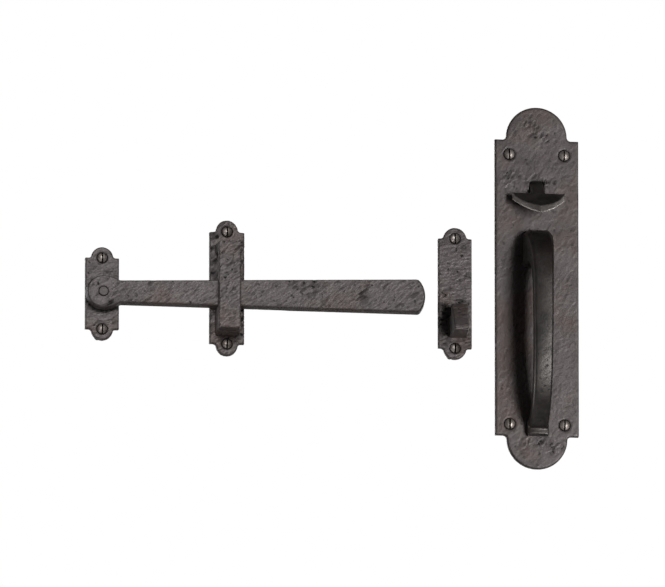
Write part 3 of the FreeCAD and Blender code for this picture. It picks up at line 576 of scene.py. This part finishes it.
screwTree, screwIn = newGroup("screwsOnPlaces", {
    "Screw": "NodeSocketObject", "Turn spread": "NodeSocketFloat", "Seed": "NodeSocketInt",
    "Material": "NodeSocketMaterial"})
oneScrew = addNode(screwTree, "GeometryNodeObjectInfo", inputs={"Object": screwIn["Screw"]})
turnLow = addNode(screwTree, "ShaderNodeMath", {"operation": "MULTIPLY"}, {0: screwIn["Turn spread"], 1: -1})
turn = addNode(screwTree, "FunctionNodeRandomValue", {"data_type": "FLOAT"}, {
    2: turnLow.outputs[0], 3: screwIn["Turn spread"], "Seed": screwIn["Seed"]})
turnAboutY = addNode(screwTree, "ShaderNodeCombineXYZ", inputs={"Y": turn.outputs[1]})
screwsOn = addNode(screwTree, "GeometryNodeInstanceOnPoints", inputs={
    "Points": screwIn["Geometry"], "Instance": oneScrew.outputs["Geometry"],
    "Rotation": turnAboutY.outputs[0]})
realScrews = addNode(screwTree, "GeometryNodeRealizeInstances", inputs={"Geometry": screwsOn.outputs[0]})
paintedScrews = addNode(screwTree, "GeometryNodeSetMaterial", inputs={
    "Geometry": realScrews.outputs[0], "Material": screwIn["Material"]})
addNode(screwTree, "NodeGroupOutput", inputs={"Geometry": paintedScrews.outputs[0]})

for name, sizes in screwPlaces.items():
    blank = newPiece(name + "Blank", screwMesh(name + "Blank", sizes["headR"], sizes["rimY"]), japannedSteel)
    cutter = newPiece(name + "Cutter", slotCutter(sizes["headR"], sizes["rimY"]), japannedSteel)
    slotCut = blank.modifiers.new("slot", "BOOLEAN")
    slotCut.operation = "DIFFERENCE"
    slotCut.solver = "EXACT"
    slotCut.object = cutter
    applyAll(blank, japannedSteel)
    darkenSlot(blank.data, sizes["headR"], sizes["rimY"])
    points = bpy.data.meshes.new(name)
    points.from_pydata([(x * mm, 0, z * mm) for x, z in sizes["at"]], [], [])
    piece = newPiece(name, points, japannedSteel)
    addTree(piece, screwTree, {"Screw": blank, "Turn spread": screwSizes["turnSpread"],
                               "Seed": sizes["seed"], "Material": japannedSteel})
    applyAll(piece, japannedSteel)
    piece.data.shade_smooth()
    piece.data.set_sharp_from_angle(angle=math.radians(screwSizes["sharpAngle"]))
    bpy.data.objects.remove(blank)
    bpy.data.objects.remove(cutter)
    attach(piece, "latch")
    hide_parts(sizes["node"])
    print(name, len(piece.data.polygons), "faces")

# Camera: long lens, from a little left of straight ahead and a little below. Angles in degrees, lengths in m,
# frameWidth is what the picture spans at the pieces.
cameraSizes = {"azimuth": -8.0, "elevation": -12.5, "distance": 14.0, "frameWidth": 0.4486, "sensorMm": 36,
               "aim": (-0.1389, 0.0, -0.0074)}


def standBack(thing, sizes):  # out from the middle of the pieces, and turned to face it
    a, e = math.radians(sizes["azimuth"]), math.radians(sizes["elevation"])
    towards = Vector((math.sin(a) * math.cos(e), -math.cos(a) * math.cos(e), math.sin(e)))
    allPieces.objects.link(thing)
    thing.location = Vector(cameraSizes["aim"]) + towards * sizes["distance"]
    thing.rotation_euler = (-towards).to_track_quat("-Z", "Y").to_euler()


camera = bpy.data.objects.new("camera", bpy.data.cameras.new("camera"))
standBack(camera, cameraSizes)
camera.data.sensor_width = cameraSizes["sensorMm"]
camera.data.lens = cameraSizes["sensorMm"] * cameraSizes["distance"] / cameraSizes["frameWidth"]
camera.data.clip_start, camera.data.clip_end = 0.1, 60
bpy.context.scene.camera = camera

# Studio: a soft lamp from the right for the handle and the keep, one from above in front for the bar and its
# two plates, and others: from below for the bar, from the left for the grip, from both sides for the edge of
# the thumb piece, from behind for all. A pale floor lies well below, and black cards out of the camera's
# sight keep the iron's reflections dark. A lamp with a "lights" value lights those pieces only, as the handle
# and the bar were lit apart. Angles in degrees, lengths in m.
lampSpread = 70  # degrees
lampSizes = {
    "keyRight": {"azimuth": 21, "elevation": -8, "distance": 3.4, "size": 1.35, "watts": 24.5,
                 "lights": "handle"},
    "keyAbove": {"azimuth": -6, "elevation": 21, "distance": 2.2, "size": 0.9, "watts": 4.9, "lights": "bar"},
    "lowFill": {"azimuth": -35, "elevation": -34, "distance": 2.2, "size": 0.6, "watts": 2.2,
                "lights": "bar"},
    "rimLeft": {"azimuth": -80, "elevation": -14, "distance": 2.2, "size": 0.7, "watts": 3.2,
                "lights": "grip"},
    "thumbLeft": {"azimuth": -60, "elevation": -24, "distance": 2.2, "size": 1.6, "watts": 29,
                  "lights": "thumb"},
    "thumbRight": {"azimuth": 90, "elevation": -12, "distance": 2.2, "size": 1.1, "watts": 23,
                   "lights": "thumb"},
    "fill": {"azimuth": -78, "elevation": -12, "distance": 2.2, "size": 0.9, "watts": 0.2},
    "rear": {"azimuth": 180, "elevation": 20, "distance": 2.2, "size": 1.5, "watts": 6},
}
litPieces = {
    "handle": ("handlePlateCast", "gripForged", "thumbForged", "handleScrews", "keepPlateCast",
               "grip_screw_upper", "grip_screw_lower", "lever_pin", "floor"),
    "grip": ("gripForged", "floor"),
    "thumb": ("thumbForged", "floor"),
    "bar": ("pivotPlateCast", "barGuideCast", "latchBarCast", "smallScrews", "pivot_washer", "pivot_rivet",
            "floor"),
}
for name, sizes in lampSizes.items():
    lamp = bpy.data.objects.new(name, bpy.data.lights.new(name, "AREA"))
    standBack(lamp, sizes)
    lamp.data.size = sizes["size"]
    lamp.data.energy = sizes["watts"]
    lamp.data.spread = math.radians(lampSpread)


def standSheet(name, sizes, material):
    turn = Vector(sizes["facing"]).to_track_quat("Z", "Y").to_matrix()
    middle = Vector(sizes["middle"])
    halfX, halfY = sizes["width"] / 2, sizes["height"] / 2
    corners = [(x * halfX, y * halfY, 0) for x, y in ((-1, -1), (1, -1), (1, 1), (-1, 1))]
    mesh = bpy.data.meshes.new(name)
    mesh.from_pydata([turn @ Vector(c) + middle for c in corners], [], [(0, 1, 2, 3)])
    sheet = newPiece(name, mesh, material)
    return sheet


def paint(name, hexColour, glow=0.0):  # glow lifts what the camera sees of it towards white
    material = bpy.data.materials.new(name)
    material.use_nodes = True
    tree = material.node_tree
    tree.nodes.clear()
    shader = addNode(tree, "ShaderNodeBsdfPrincipled", inputs={
        "Base Color": linear(hexColour), "Roughness": 0.9})
    lightPath = addNode(tree, "ShaderNodeLightPath").outputs
    lifted = addNode(tree, "ShaderNodeMath", {"operation": "MULTIPLY"}, {
        0: lightPath["Is Camera Ray"], 1: glow})
    white = addNode(tree, "ShaderNodeEmission", inputs={"Color": (1, 1, 1, 1), "Strength": 1.0})
    fromAbove = addNode(tree, "ShaderNodeMixShader", inputs={
        0: lifted.outputs[0], 1: shader.outputs["BSDF"], 2: white.outputs[0]})
    clear = addNode(tree, "ShaderNodeBsdfTransparent")  # a view from behind or below sees through it
    behind = addNode(tree, "ShaderNodeNewGeometry").outputs["Backfacing"]
    surface = addNode(tree, "ShaderNodeMixShader", inputs={
        0: behind, 1: fromAbove.outputs[0], 2: clear.outputs[0]})
    addNode(tree, "ShaderNodeOutputMaterial", inputs={"Surface": surface.outputs[0]})
    return material


# The eye sees the floor as white paper without an edge, and the velvet not at all but for dark reflections
paleFloor = paint("pale studio floor", "#f2f1ee", glow=0.6)
blackVelvet = paint("black velvet", "#040404")
floorSizes = {"middle": (0, 0, -1.2), "facing": (0, 0, 1), "width": 8, "height": 8}
cardSizes = {
    "cardOverhead": {"middle": (-0.14, 1.1, 0.75), "facing": (0, 0, -1), "width": 4, "height": 4},
    "cardLeft": {"middle": (-2.6, -1.0, 0), "facing": (1, 0, 0), "width": 5, "height": 4},
    "cardRight": {"middle": (2.6, -1.0, 0), "facing": (-1, 0, 0), "width": 5, "height": 4},
    "cardFront": {"middle": (-0.6, -3.2, 0.2), "facing": (0, 1, 0), "width": 5, "height": 4},
}
standSheet("floor", floorSizes, paleFloor)
for name, sizes in cardSizes.items():
    card = standSheet(name, sizes, blackVelvet)
    card.visible_camera = False

for label, names in litPieces.items():
    lit = bpy.data.collections.new(label + "Lit")
    for name in names:
        lit.objects.link(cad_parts.get(name) or bpy.data.objects[name])
    for name, sizes in lampSizes.items():
        if sizes.get("lights") == label:
            bpy.data.objects[name].light_linking.receiver_collection = lit

# The background is white where it is seen, itself or in a reflection; as a light it is faint
backgroundLight = 0.045
world = bpy.data.worlds.new("studio")
bpy.context.scene.world = world
world.use_nodes = True
sky = world.node_tree
sky.nodes.clear()
rays = addNode(sky, "ShaderNodeLightPath").outputs
seen = addNode(sky, "ShaderNodeMath", {"operation": "MAXIMUM"}, {
    0: rays["Is Camera Ray"], 1: rays["Is Glossy Ray"]})
seenAll = addNode(sky, "ShaderNodeMath", {"operation": "MAXIMUM"}, {
    0: seen.outputs[0], 1: rays["Is Transmission Ray"]})
level = addNode(sky, "ShaderNodeMapRange", inputs={
    "Value": seenAll.outputs[0], "To Min": backgroundLight, "To Max": 1.0})
studioLight = addNode(sky, "ShaderNodeBackground", inputs={
    "Color": (1, 1, 1, 1), "Strength": level.outputs["Result"]})
addNode(sky, "ShaderNodeOutputWorld", inputs={"Surface": studioLight.outputs["Background"]})
bpy.context.scene.view_settings.view_transform = "Standard"
print("camera and studio set:", len(lampSizes), "lamps")
